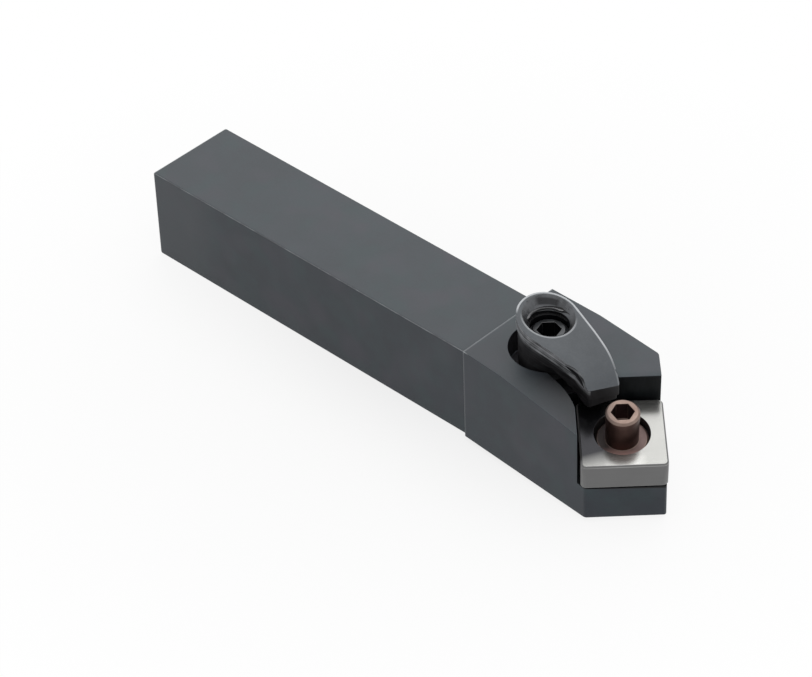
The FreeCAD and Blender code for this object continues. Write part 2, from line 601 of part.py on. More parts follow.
def make_clamp():
    """Make the finger clamp: boss, arm with a proud band along its top, bore and ground scallop."""
    side = make_clamp_side("ClampSide", 0)
    below_band = make_clamp_side("ClampBelowBand", 1)
    band_plan = combine("Common", "BandBlock", make_clamp_plan("ClampPlan", 0), side)
    band = combine("Cut", "Band", band_plan, below_band)
    core = combine("Common", "Core", make_clamp_plan("ClampCorePlan", 1), side)
    boss = block("Cylinder", "Boss", {
        "Radius": "Sizes.boss_radius - Sizes.band_step",
        "Height": "Sizes.arm_underside - Sizes.boss_bottom + Sizes.band_height / 2",
        "Placement": "placement(vector(0; 0; Sizes.boss_bottom); rotation(0; 0; 0))"})
    forging = combine("Fuse", "Forging", combine("Fuse", "ArmForging", core, boss), band)

    bore = block("Cylinder", "ClampBore", {"Radius": "Places.screw_hole_radius", "Height": "%g" % CLEAR})
    drilled = combine("Cut", "Drilled", forging, bore)
    countersink = block("Cone", "Countersink", {
        "Radius1": "0",
        "Radius2": "2 * Sizes.countersink_radius",
        "Height": "2 * Places.countersink_tip_depth",
        "Placement": "placement(vector("
                     "-Sizes.countersink_offset * cos(Sizes.clamp_rake)"
                     " - Places.countersink_tip_depth * sin(Sizes.clamp_rake); Sizes.countersink_side_offset;"
                     " Sizes.boss_top + Sizes.countersink_offset * sin(Sizes.clamp_rake)"
                     " - Places.countersink_tip_depth * cos(Sizes.clamp_rake)); rotation(0; Sizes.clamp_rake; 0))"})
    sunk = combine("Cut", "Sunk", drilled, countersink)

    beside_finger = block("Box", "BesideFinger", {
        "Length": "%g" % CLEAR,
        "Width": "%g" % CLEAR,
        "Height": "%g" % CLEAR,
        "Placement": "placement(vector(0; Sizes.finger_far_half; Sizes.head_top + Sizes.flank_lift - %g);"
                     " rotation(0; 0; 0))" % CLEAR})
    boss_kept = block("Cylinder", "BossKept", {
        "Radius": "Sizes.boss_radius - Sizes.band_step",
        "Height": "%g" % CLEAR})
    relieved = combine("Cut", "Relieved", sunk, combine("Cut", "FlankRelief", beside_finger, boss_kept))

    scallop_x = "(Places.arm_reach - Sizes.scallop_setback)"
    centre_x = "(Sizes.brow_start - Sizes.brow_radius * sin(Sizes.clamp_rake))"
    lean = "asin((%s - %s) / Sizes.brow_radius)" % (scallop_x, centre_x)
    centre_z = ("(Sizes.boss_top - Sizes.brow_start * tan(Sizes.clamp_rake)"
                " - Sizes.brow_radius * cos(Sizes.clamp_rake))")
    depth_radius = "(Sizes.brow_radius - Sizes.scallop_depth)"
    scallop = block("Cylinder", "Scallop", {
        "Radius": "Sizes.scallop_radius",
        "Height": "4 * Sizes.scallop_depth",
        "Placement": "placement(vector(%s + %s * sin(%s); Sizes.scallop_width - Sizes.scallop_radius"
                     " - (Sizes.waist_half + Sizes.nose_near_half) / 2; %s + %s * cos(%s)); rotation(0; %s; 0))" % (
                         centre_x, depth_radius, lean, centre_z, depth_radius, lean, lean)})
    clamp = combine("Cut", "Clamp", relieved, scallop)
    clamp.Label = "clamp"
    bind(clamp, {"Placement": "placement(vector(Places.clamp_x; Places.clamp_y; Places.bottom);"
                              " rotation(Places.finger_angle; 0; 0))"})
    doc.recompute()
    return clamp


holder_body = make_holder_body()
shim = make_shim()
lock_pin = make_lock_pin()
clamp_screw = make_clamp_screw()
clamp = make_clamp()
doc.recompute()
pieces = [holder_body, shim, lock_pin, clamp, clamp_screw]

for thing in doc.Objects:
    if "Invalid" in thing.State or "Error" in thing.State:
        raise RuntimeError("%s failed: %s" % (thing.Name, thing.State))
for piece in pieces:
    if piece.Shape.isNull() or not piece.Shape.isValid():
        raise RuntimeError("%s has no valid shape" % piece.Label)

os.makedirs("parts", exist_ok=True)
for piece in pieces:
    piece.Shape.exportStep("parts/%s.step" % piece.Label)
    box = piece.Shape.BoundBox
    print("%-12s %d solid(s) %9.2f mm3  x %.2f..%.2f  y %.2f..%.2f  z %.2f..%.2f" % (
        piece.Label, len(piece.Shape.Solids), piece.Shape.Volume,
        box.XMin, box.XMax, box.YMin, box.YMax, box.ZMin, box.ZMax))
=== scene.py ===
"""Looks for a left-hand turning tool holder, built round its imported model.

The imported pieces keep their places. Each one is shown by a copy with softened
edges and a finish of its own: black-oxide steel for the holder, ground steel for
the seat plate, brown-tempered steel for the lock pin and a forged black skin for
the finger clamp. The clamp's bore gets its thread. Meshes, lamps and the camera
are in metres. Face tests and patterns measure in millimetres.
"""

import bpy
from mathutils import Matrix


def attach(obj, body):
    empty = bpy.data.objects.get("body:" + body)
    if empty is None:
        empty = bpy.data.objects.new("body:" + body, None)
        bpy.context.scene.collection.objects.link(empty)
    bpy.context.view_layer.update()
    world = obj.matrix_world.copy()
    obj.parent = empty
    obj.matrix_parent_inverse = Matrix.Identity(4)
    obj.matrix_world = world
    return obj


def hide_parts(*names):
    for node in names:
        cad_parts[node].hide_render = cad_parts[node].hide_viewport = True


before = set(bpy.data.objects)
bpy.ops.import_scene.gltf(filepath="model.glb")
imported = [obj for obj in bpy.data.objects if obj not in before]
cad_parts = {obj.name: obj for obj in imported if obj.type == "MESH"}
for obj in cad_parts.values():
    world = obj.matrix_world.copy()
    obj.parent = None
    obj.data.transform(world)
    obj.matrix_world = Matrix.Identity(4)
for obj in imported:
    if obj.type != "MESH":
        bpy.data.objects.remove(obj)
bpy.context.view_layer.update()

import logging
import math
from dataclasses import dataclass
from enum import Enum
from typing import Callable, Sequence

import bpy
from mathutils import Matrix, Vector

log = logging.getLogger("tool_holder")

MM = 0.001

# A face is a wall where its normal rises less than WALL, and flat where it rises more than FLAT.
WALL = 0.5
FLAT = 0.9

Colour = tuple[float, float, float]
Triple = tuple[float, float, float]
Test = Callable[[Vector, Vector], bool]


class Ride(Enum):
    """The bodies that pieces move with."""

    HOLDER = "holder"
    CLAMP = "clamp"
    SCREW = "clamp_screw"
    PIN = "lock_pin"


class Slot(Enum):
    """Names for the finishes."""

    BLACK = "black_oxide_steel"
    BRIGHT = "bright_steel"
    BROWN = "brown_steel"
    FORGED = "forged_black_steel"


@dataclass(frozen=True)
class SeatFrame:
    """The tilted frame on the pocket's floor: X along the cutting edge, Y up towards the far wall."""

    length: float = 101.95 * MM
    tip_side: float = 2.45 * MM
    size: float = 12.7 * MM
    overhang: float = 0.2 * MM
    edge_height: float = -1.52 * MM
    lead: float = math.radians(45.0)
    tilt: float = math.radians(8.0)

    @property
    def matrix(self) -> Matrix:
        """Work out where the frame lies.

        Returns:
            Its place and turn.
        """
        half = self.size / 2
        x = self.length - (half * (1 + math.cos(self.tilt)) - self.overhang) / math.sqrt(2)
        y = -self.tip_side - (half * (1 - math.cos(self.tilt)) - self.overhang) / math.sqrt(2)
        z = self.edge_height + half * math.sin(self.tilt)
        turn = Matrix.Rotation(self.lead, 4, "Z") @ Matrix.Rotation(self.tilt, 4, "X")
        return Matrix.Translation((x, y, z)) @ turn


@dataclass(frozen=True)
class FingerFrame:
    """The upright frame on the clamp's axis: X along the finger, Y to its left."""

    setback: float = 16.32 * MM
    side_offset: float = 2.51 * MM

    @property
    def matrix(self) -> Matrix:
        """Work out where the frame stands.

        Returns:
            Its place and turn.
        """
        seat = SeatFrame().matrix.translation
        turn = -math.atan2(self.side_offset, self.setback)
        return (Matrix.Translation((seat.x - self.setback, seat.y + self.side_offset, 0.0))
                @ Matrix.Rotation(turn, 4, "Z"))


# The frames that face tests and patterns are given in. WHOLE is the scene's own.
WHOLE = Matrix.Identity(4)
SEAT = SeatFrame().matrix
FINGER = FingerFrame().matrix


def within(frame_matrix: Matrix, test: Test) -> Test:
    """Let a test see places and normals in a frame of its own.

    Args:
        frame_matrix: The frame.
        test: The test, on a place in millimetres and a normal in that frame.

    Returns:
        The same test for places in metres in the scene's frame.
    """
    inverse = frame_matrix.inverted()
    turn = inverse.to_3x3()
    return lambda place, normal: test(inverse @ place / MM, turn @ normal)


def scaled(colour: Colour, factor: float) -> Colour:
    """Make a colour lighter or darker by a factor."""
    return tuple(channel * factor for channel in colour)


# Shader graph


class Signal:
    """A shader socket on which Python operators build Math nodes."""

    def __init__(self, graph: "Graph", socket: bpy.types.NodeSocket | None) -> None:
        """Wrap a socket of a graph.

        Args:
            graph: The graph that the socket belongs to.
            socket: The output to wrap, or None for a node that has none.
        """
        self.graph = graph
        self.socket = socket

    def _math(self, operation: str, first: object, second: object) -> "Signal":
        """Add a Math node with two inputs."""
        return self.graph.node("ShaderNodeMath", {"operation": operation}, {0: first, 1: second})

    def __add__(self, other: object) -> "Signal":
        """Add."""
        return self._math("ADD", self, other)

    __radd__ = __add__

    def __mul__(self, other: object) -> "Signal":
        """Multiply."""
        return self._math("MULTIPLY", self, other)

    __rmul__ = __mul__

    def __sub__(self, other: object) -> "Signal":
        """Subtract."""
        return self._math("SUBTRACT", self, other)

    def __rsub__(self, other: object) -> "Signal":
        """Subtract from a number."""
        return self._math("SUBTRACT", other, self)

    def __truediv__(self, other: object) -> "Signal":
        """Divide."""
        return self._math("DIVIDE", self, other)

    def __pow__(self, other: object) -> "Signal":
        """Raise to a power."""
        return self._math("POWER", self, other)

    def at_least(self, low: float) -> "Signal":
        """Keep from falling below a number."""
        return self._math("MAXIMUM", self, low)

    def clip(self, low: float, high: float) -> "Signal":
        """Map a range onto 0 to 1, without going past either end.

        Args:
            low: The value that becomes 0.
            high: The value that becomes 1.

        Returns:
            The mapped signal.
        """
        return self.graph.node("ShaderNodeMapRange", {"clamp": True}, {
            "Value": self, "From Min": low, "From Max": high, "To Min": 0.0, "To Max": 1.0})


class Graph:
    """The node tree of a material or of the world."""

    def __init__(self, owner: bpy.types.Material | bpy.types.World) -> None:
        """Take an owner's node tree and empty it.

        Args:
            owner: The material or world.
        """
        owner.use_nodes = True
        self.owner = owner
        self.tree = owner.node_tree
        self.tree.nodes.clear()

    def node(self, kind: str, settings: dict[str, object] | None = None,
             inputs: dict[object, object] | None = None, output: object = 0) -> Signal:
        """Add a node, its settings first and then its inputs.

        Args:
            kind: The node's type.
            settings: Properties to set on the node, and as "stops" the places and colours of a ramp.
            inputs: Values or signals for its sockets, by name or index. A colour has three numbers.
            output: The name or index of the socket to return, or None for a node that has none.

        Returns:
            The chosen output.
        """
        made = self.tree.nodes.new(kind)
        for key, value in (settings or {}).items():
            if key == "stops":
                for element, (place, colour) in zip(made.color_ramp.elements, value):
                    element.position, element.color = place, (*colour, 1.0)
            else:
                setattr(made, key, value)
        for key, value in (inputs or {}).items():
            socket = made.inputs[key]
            if isinstance(value, Signal):
                self.tree.links.new(value.socket, socket)
            else:
                socket.default_value = (*value, 1.0) if socket.type == "RGBA" else value
        return Signal(self, None if output is None else made.outputs[output])

    def ramp(self, factor: Signal, low: tuple[float, Colour], high: tuple[float, Colour]) -> Signal:
        """Colour a factor by a ramp between two stops, each a place and a colour."""
        return self.node("ShaderNodeValToRGB", {"stops": (low, high)}, {"Fac": factor}, "Color")

    def blend(self, factor: Signal, first: object, second: object) -> Signal:
        """Mix two colours by a factor, through the Mix node's colour sockets."""
        return self.node("ShaderNodeMix", {"data_type": "RGBA"}, {0: factor, 6: first, 7: second}, 2)

    def seen_from(self, spot: Sequence[float], turn: Sequence[float]) -> Signal:
        """Object coordinates as seen from a turned frame at a spot."""
        return self.node("ShaderNodeMapping", {"vector_type": "TEXTURE"}, {
            "Vector": self.node("ShaderNodeTexCoord", output="Object"), "Location": spot, "Rotation": turn})

    def place(self, scale: Triple = (1.0, 1.0, 1.0), turn: Triple = (0.0, 0.0, 0.0)) -> Signal:
        """Object coordinates, turned and then scaled."""
        turned = self.seen_from((0.0, 0.0, 0.0), turn)
        return self.node("ShaderNodeVectorMath", {"operation": "MULTIPLY"}, {0: turned, 1: scale})

    def local(self, matrix: Matrix) -> tuple[Signal, Signal, Signal]:
        """Split Object coordinates, in millimetres, along the axes of a frame.

        Args:
            matrix: The frame.

        Returns:
            The places along its X, Y and Z.
        """
        spot, turn, _ = matrix.decompose()
        seen = self.seen_from(spot, turn.to_euler())
        return tuple(self.node("ShaderNodeSeparateXYZ", None, {0: seen}, axis) * (1 / MM) for axis in "XYZ")

    def noise(self, where: Signal, scale: float, detail: float = 2.0, rough: float = 0.5) -> Signal:
        """Noise from 0 to 1 at a place."""
        return self.node("ShaderNodeTexNoise", {"noise_dimensions": "3D"}, {
            "Vector": where, "Scale": scale, "Detail": detail, "Roughness": rough}, "Fac")

    def bump(self, height: Signal, strength: float, depth: float) -> Signal:
        """Turn a height signal into a normal."""
        return self.node("ShaderNodeBump", None, {
            "Height": height, "Strength": strength, "Distance": depth})

    def seen(self) -> Signal:
        """1 for camera, glossy and transmission rays, and 0 for the rays that light things."""
        camera, glossy, through = (self.node("ShaderNodeLightPath", output=f"Is {ray} Ray") for ray in (
            "Camera", "Glossy", "Transmission"))
        return (camera + glossy + through).clip(0.0, 1.0)

    def surface(self, shader: Signal) -> None:
        """Let a shader cover the tree's owner."""
        kind = "World" if isinstance(self.owner, bpy.types.World) else "Material"
        self.node(f"ShaderNodeOutput{kind}", None, {"Surface": shader}, None)


# Finishes


@dataclass(frozen=True)
class Shade:
    """A colour that comes over a finish where a pattern is 1."""

    colour: Colour
    pattern: Callable[[Graph], Signal]


@dataclass(frozen=True)
class Finish:
    """What all finishes share: shades over the colour, and the way they become a material."""

    shades: tuple[Shade, ...] = ()

    def sockets(self, graph: Graph) -> dict[str, object]:
        """Give the Principled shader's inputs, before any shade."""
        raise NotImplementedError

    def material(self, name: str) -> bpy.types.Material:
        """Make the material.

        Args:
            name: Its name.

        Returns:
            The material.
        """
        graph = Graph(bpy.data.materials.new(name))
        sockets = self.sockets(graph)
        for shade in self.shades:
            sockets["Base Color"] = graph.blend(shade.pattern(graph), sockets["Base Color"], shade.colour)
        graph.surface(graph.node("ShaderNodeBsdfPrincipled", None, sockets))
        return graph.owner


@dataclass(frozen=True)
class BlackOxide(Finish):
    """Milled steel under a satin black-oxide skin, mottled with a little violet and teal."""

    dark: Colour = (0.034, 0.042, 0.050)
    light: Colour = (0.050, 0.060, 0.070)
    violet: Colour = (0.068, 0.060, 0.078)
    teal: Colour = (0.034, 0.064, 0.066)
    tint: float = 0.30
    roughness: float = 0.44
    shine: float = 0.32

    def sockets(self, graph: Graph) -> dict[str, object]:
        """Cloud, speckle and tint the skin, with faint milling lines along the shank.

        Args:
            graph: The material's graph.

        Returns:
            The Principled shader's inputs.
        """
        where = graph.place()
        cloud = graph.noise(where, scale=95.0, detail=3.0, rough=0.6)
        speck = graph.noise(where, scale=2600.0, rough=0.6)
        milling = graph.noise(graph.place((60.0, 1400.0, 1400.0)), scale=1.0)
        violet = graph.noise(where, scale=150.0, detail=1.0).clip(0.48, 0.70) * self.tint
        teal = graph.noise(where, scale=210.0, rough=0.6).clip(0.46, 0.66) * self.tint
        colour = graph.ramp(cloud * 0.7 + speck * 0.3, (0.32, self.dark), (0.68, self.light))
        colour = graph.blend(teal, graph.blend(violet, colour, self.violet), self.teal)
        return {"Base Color": colour, "Metallic": 0.0, "Specular IOR Level": self.shine,
                "Roughness": cloud * 0.10 + speck * 0.08 + (self.roughness - 0.09),
                "Normal": graph.bump(speck * 0.6 + milling * 0.4, strength=0.10, depth=0.02 * MM)}


@dataclass(frozen=True)
class WornEdge(Finish):
    """Edges where the black skin has worn thin and the steel shows."""

    colour: Colour = (0.30, 0.32, 0.33)
    roughness: float = 0.36
    metallic: float = 0.7

    def sockets(self, graph: Graph) -> dict[str, object]:
        """Rub the edge unevenly.

        Args:
            graph: The material's graph.

        Returns:
            The Principled shader's inputs.
        """
        patch = graph.noise(graph.place(), scale=420.0, detail=3.0, rough=0.6)
        colour = graph.ramp(patch, (0.35, scaled(self.colour, 0.55)), (0.60, self.colour))
        return {"Base Color": colour, "Metallic": self.metallic,
                "Roughness": patch * 0.15 + (self.roughness - 0.07)}


@dataclass(frozen=True)
class GroundSteel(Finish):
    """Bright ground steel with fine lines along one direction."""

    colour: Colour = (0.36, 0.36, 0.345)
    roughness: float = 0.21
    metallic: float = 0.88
    turn: float = math.radians(45.0)

    def sockets(self, graph: Graph) -> dict[str, object]:
        """Draw the grinding lines in colour, gloss and height, with a faint cloud over them.

        Args:
            graph: The material's graph.

        Returns:
            The Principled shader's inputs.
        """
        along = graph.place((90.0, 5200.0, 5200.0), (0.0, 0.0, self.turn))
        lines = graph.noise(along, scale=1.0, rough=0.6)
        cloud = graph.noise(graph.place(), scale=260.0)
        colour = graph.ramp(lines * 0.5 + cloud * 0.5, (0.3, scaled(self.colour, 0.90)), (0.7, self.colour))
        return {"Base Color": colour, "Metallic": self.metallic,
                "Roughness": lines * 0.10 + (self.roughness - 0.05),
                "Normal": graph.bump(lines, strength=0.08, depth=0.01 * MM)}


@dataclass(frozen=True)
class BrownTemper(Finish):
    """Hardened steel with a brown oxide colour, turned rings showing faintly."""

    dark: Colour = (0.060, 0.032, 0.027)
    light: Colour = (0.110, 0.062, 0.051)
    roughness: float = 0.38
    metallic: float = 0.85

    def sockets(self, graph: Graph) -> dict[str, object]:
        """Cloud the brown and let the turned rings catch the light.

        Args:
            graph: The material's graph.

        Returns:
            The Principled shader's inputs.
        """
        cloud = graph.noise(graph.place(), scale=330.0, detail=3.0, rough=0.6)
        rings = graph.noise(graph.place((300.0, 300.0, 5600.0)), scale=1.0, detail=1.0)
        return {"Base Color": graph.ramp(cloud, (0.30, self.dark), (0.72, self.light)),
                "Metallic": self.metallic, "Roughness": cloud * 0.12 + (self.roughness - 0.06),
                "Normal": graph.bump(rings, strength=0.10, depth=0.01 * MM)}


@dataclass(frozen=True)
class ForgedBlack(Finish):
    """A forged part's black skin: finely pitted and clouded."""

    dark: Colour = (0.054, 0.062, 0.071)
    light: Colour = (0.086, 0.096, 0.107)
    roughness: float = 0.40
    shine: float = 0.42

    def sockets(self, graph: Graph) -> dict[str, object]:
        """Cloud and pit the skin.

        Args:
            graph: The material's graph.

        Returns:
            The Principled shader's inputs.
        """
        where = graph.place()
        cloud = graph.noise(where, scale=260.0, detail=4.0, rough=0.6)
        pits = graph.noise(where, scale=3400.0, rough=0.6)
        return {"Base Color": graph.ramp(cloud * 0.7 + pits * 0.3, (0.34, self.dark), (0.68, self.light)),
                "Metallic": 0.0, "Specular IOR Level": self.shine,
                "Roughness": cloud * 0.14 + (self.roughness - 0.07),
                "Normal": graph.bump(pits * 0.6 + cloud * 0.4, strength=0.16, depth=0.03 * MM)}


@dataclass(frozen=True)
class TrimmedBlack(Finish):
    """The trimmed side band of a forging: fine lines drawn along it under a glossy black skin."""

    dark: Colour = (0.014, 0.015, 0.017)
    light: Colour = (0.42, 0.43, 0.45)
    shine: float = 0.45
    rake: float = math.radians(15.0)
    turn: float = math.radians(-8.74)

    def sockets(self, graph: Graph) -> dict[str, object]:
        """Draw the lines along the raked finger, strong in places.

        Args:
            graph: The material's graph.

        Returns:
            The Principled shader's inputs.
        """
        along = graph.place((140.0, 140.0, 4200.0), (0.0, self.rake, self.turn))
        lines = graph.noise(along, scale=1.0, rough=0.6)
        patch = graph.noise(graph.place(), scale=500.0)
        return {"Base Color": graph.ramp(lines * 0.7 + patch * 0.3, (0.38, self.dark), (0.66, self.light)),
                "Metallic": 0.0, "Specular IOR Level": self.shine, "Roughness": patch * 0.14 + 0.26,
                "Normal": graph.bump(lines, strength=0.35, depth=0.04 * MM)}


@dataclass(frozen=True)
class ShadedCutterWall(Finish):
    """Walls left by an end mill, with fine upright lines; their dark colour is painted shade."""

    dark: Colour = (0.005, 0.006, 0.007)
    light: Colour = (0.014, 0.016, 0.018)
    roughness: float = 0.42
    shine: float = 0.14

    def sockets(self, graph: Graph) -> dict[str, object]:
        """Draw the cutter's upright lines in a dull, clouded skin.

        Args:
            graph: The material's graph.

        Returns:
            The Principled shader's inputs.
        """
        lines = graph.noise(graph.place((2600.0, 2600.0, 90.0)), scale=1.0, rough=0.6)
        cloud = graph.noise(graph.place(), scale=320.0)
        return {"Base Color": graph.ramp(lines * 0.4 + cloud * 0.6, (0.35, self.dark), (0.66, self.light)),
                "Metallic": 0.0, "Specular IOR Level": self.shine,
                "Roughness": cloud * 0.12 + (self.roughness - 0.06),
                "Normal": graph.bump(lines, strength=0.10, depth=0.02 * MM)}


@dataclass(frozen=True)
class ScrewBlack(Finish):
    """The darker, oiled skin of a hardened screw."""

    colour: Colour = (0.030, 0.032, 0.035)
    roughness: float = 0.32
    metallic: float = 0.3
    shine: float = 0.5

    def sockets(self, graph: Graph) -> dict[str, object]:
        """Cloud the oiled skin.

        Args:
            graph: The material's graph.

        Returns:
            The Principled shader's inputs.
        """
        cloud = graph.noise(graph.place(), scale=700.0, detail=3.0, rough=0.6)
        return {"Base Color": graph.ramp(cloud, (0.35, self.colour), (0.70, scaled(self.colour, 1.9))),
                "Metallic": self.metallic, "Specular IOR Level": self.shine,
                "Roughness": cloud * 0.12 + (self.roughness - 0.06)}


# Modelling steps


def deselect_all() -> None:
    """Leave nothing selected."""
    if bpy.context.mode != "OBJECT":
        bpy.ops.object.mode_set(mode="OBJECT")
    bpy.ops.object.select_all(action="DESELECT")


def make_active(piece: bpy.types.Object) -> None:
    """Select one piece alone and make it the active one.

    Args:
        piece: The piece.
    """
    deselect_all()
    piece.select_set(True)
    bpy.context.view_layer.objects.active = piece


def pick(piece: bpy.types.Object, test: Callable[[Vector], bool]) -> None:
    """Go to edit mode with just the vertices selected that pass a test on their place.

    Args:
        piece: The piece.
        test: The test.
    """
    make_active(piece)
    bpy.context.tool_settings.mesh_select_mode = (True, False, False)
    for group in (piece.data.polygons, piece.data.edges):
        group.foreach_set("select", [False] * len(group))
    for vertex in piece.data.vertices:
        vertex.select = test(vertex.co)
    bpy.ops.object.mode_set(mode="EDIT")


def apply_modifiers(piece: bpy.types.Object) -> None:
    """Apply each of a piece's modifiers in order.

    Args:
        piece: The piece.
    """
    make_active(piece)
    for name in [modifier.name for modifier in piece.modifiers]:
        bpy.ops.object.modifier_apply(modifier=name)


def clean_copy(node: str, name: str) -> bpy.types.Object:
    """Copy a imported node's mesh and join its loose triangles into whole faces.

    Args:
        node: The node to copy.
        name: The new piece's name.

    Returns:
        The copy, at the origin.
    """
    piece = bpy.data.objects.new(name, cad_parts[node].data.copy())
    piece.data.name = name
    bpy.context.scene.collection.objects.link(piece)
    piece.data.materials.clear()
    make_active(piece)
    bpy.ops.object.mode_set(mode="EDIT")
    bpy.ops.mesh.select_all(action="SELECT")
    bpy.ops.mesh.remove_doubles(threshold=1e-6)
    bpy.ops.mesh.dissolve_limited(angle_limit=math.radians(0.6))
    bpy.ops.object.mode_set(mode="OBJECT")
    return piece


def soften(piece: bpy.types.Object, width: float, segments: int, angle: float) -> None:
    """Round a piece's sharp edges, give the rounding the second material and keep its flats flat.

    Args:
        piece: The piece to soften.
        width: The rounding's width.
        segments: How many steps the rounding has.
        angle: Edges sharper than this are rounded, in degrees.
    """
    bevel = piece.modifiers.new("edges", "BEVEL")
    bevel.width = width
    bevel.segments = segments
    bevel.limit_method = "ANGLE"
    bevel.angle_limit = math.radians(angle)
    bevel.miter_outer = "MITER_ARC"
    bevel.use_clamp_overlap = True
    bevel.material = 1
    apply_modifiers(piece)
    make_active(piece)
    bpy.ops.object.shade_smooth_by_angle(angle=math.radians(35.0))
    weights = piece.modifiers.new("flats", "WEIGHTED_NORMAL")
    weights.keep_sharp = True
    weights.weight = 90
    apply_modifiers(piece)


@dataclass(frozen=True)
class Coat:
    """A finish and the faces that it covers."""

    material: bpy.types.Material
    covers: Test


@dataclass(frozen=True)
class DressedNode:
    """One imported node, shown by a softened copy in its own finishes."""

    node: str
    name: str
    body: Ride
    slot: Slot
    edge_width: float
    edge_segments: int = 2
    edge_angle: float = 32.0

    def build(self, skin: bpy.types.Material, edge: bpy.types.Material, coats: Sequence[Coat]) -> None:
        """Build the copy, dress it and let it stand for its node.

        Args:
            skin: The material of most faces.
            edge: The material of the rounded edges.
            coats: Other materials and the faces that they cover, the last one on top.
        """
        piece = clean_copy(self.node, self.name)
        for material in (skin, edge, *(coat.material for coat in coats)):
            piece.data.materials.append(material)
        for face in piece.data.polygons:
            for index, coat in enumerate(coats, start=2):
                if coat.covers(face.center, face.normal):
                    face.material_index = index
        soften(piece, self.edge_width, self.edge_segments, self.edge_angle)
        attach(piece, self.body.value)
        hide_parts(self.node)
        log.info("%s: %d faces", piece.name, len(piece.data.polygons))


# The holder's sub-assemblies


@dataclass
class BoreThread:
    """One arc of the thread that shows in the clamp's bore above the screw."""

    name: str
    bottom: float
    start: float
    steps: int
    centre: tuple[float, float] = (76.835 * MM, 0.158 * MM)
    pitch: float = 1.0 * MM
    root_radius: float = 3.90 * MM
    valley_radius: float = 3.24 * MM
    crest_radius: float = 2.86 * MM
    half_height: float = 0.25 * MM
    valley_drop: float = 0.20 * MM
    crest_share: float = 0.5
    steps_per_turn: int = 52
    fade_steps: int = 4
    end_width: float = 0.4
    end_height: float = 0.2
    tolerance: float = 0.01 * MM

    def profile(self) -> bpy.types.Object:
        """Make the ridge's section: an upright grid with a valley on top and a narrow crest.

        Returns:
            The section, in edit mode.
        """
        deselect_all()
        width = self.root_radius - self.crest_radius
        middle = (self.root_radius + self.crest_radius) / 2
        bpy.ops.mesh.primitive_plane_add(size=1.0, location=(0.0, 0.0, 0.0))
        ridge = bpy.context.active_object
        ridge.name = ridge.data.name = self.name
        bpy.ops.object.mode_set(mode="EDIT")
        bpy.ops.mesh.select_all(action="SELECT")
        bpy.ops.mesh.subdivide(number_cuts=1)
        bpy.ops.transform.rotate(value=math.radians(90.0), orient_axis="X", center_override=(0.0, 0.0, 0.0))
        bpy.ops.transform.resize(value=(width, 1.0, 2 * self.half_height), center_override=(0.0, 0.0, 0.0))
        bpy.ops.transform.translate(value=(middle, 0.0, 0.0))
        pick(ridge, lambda place: abs(place.x - middle) < self.tolerance)
        bpy.ops.transform.translate(value=(self.valley_radius - middle, 0.0, 0.0))
        pick(ridge, lambda place: (
            abs(place.x - self.valley_radius) < self.tolerance and place.z > self.half_height / 2))
        bpy.ops.transform.translate(value=(0.0, 0.0, -self.valley_drop))
        pick(ridge, lambda place: place.x < self.crest_radius + self.tolerance)
        bpy.ops.transform.resize(value=(1.0, 1.0, self.crest_share), center_override=(0.0, 0.0, 0.0))
        return ridge

    def sweep(self) -> None:
        """Draw the section up and round, step by step, narrow at both ends."""
        turn = math.tau / self.steps_per_turn
        rise = self.pitch / self.steps_per_turn
        bpy.ops.mesh.select_all(action="SELECT")
        bpy.ops.transform.resize(value=(self.end_width, 1.0, self.end_height),
                                 center_override=(self.root_radius, 0.0, 0.0))
        wider, higher = ((1 / end) ** (1 / self.fade_steps) for end in (self.end_width, self.end_height))
        for step in range(1, self.steps + 1):
            bpy.ops.mesh.extrude_region_move(TRANSFORM_OT_translate={"value": (0.0, 0.0, rise)})
            bpy.ops.transform.rotate(value=-turn, orient_axis="Z", center_override=(0.0, 0.0, 0.0))
            angle = turn * step
            root = (self.root_radius * math.cos(angle), self.root_radius * math.sin(angle), rise * step)
            if step <= self.fade_steps or step > self.steps - self.fade_steps:
                wide, high = (wider, higher) if step <= self.fade_steps else (1 / wider, 1 / higher)
                bpy.ops.transform.resize(value=(wide, wide, high), center_override=root)

    def build(self, groove: bpy.types.Material, crest: bpy.types.Material) -> None:
        """Model the arc, dress it and let it ride on the clamp.

        Args:
            groove: The material next to the wall, near-black as painted shade.
            crest: The material of the crest, light as a painted highlight.
        """
        ridge = self.profile()
        self.sweep()
        bpy.ops.mesh.select_all(action="SELECT")
        bpy.ops.mesh.normals_make_consistent(inside=False)
        bpy.ops.transform.rotate(value=-self.start, orient_axis="Z", center_override=(0.0, 0.0, 0.0))
        bpy.ops.transform.translate(value=(self.centre[0], self.centre[1], self.bottom))
        bpy.ops.object.mode_set(mode="OBJECT")
        bpy.ops.object.shade_smooth_by_angle(angle=math.radians(30.0))
        ridge.data.materials.clear()
        for material in (groove, crest):
            ridge.data.materials.append(material)
        for face in ridge.data.polygons:
            reach = math.hypot(face.center.x - self.centre[0], face.center.y - self.centre[1])
            # The crest's faces take the painted highlight, the rest the groove's painted shade.
            face.material_index = int(reach < self.valley_radius)
        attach(ridge, Ride.CLAMP.value)
        log.info("%s: %d faces", ridge.name, len(ridge.data.polygons))


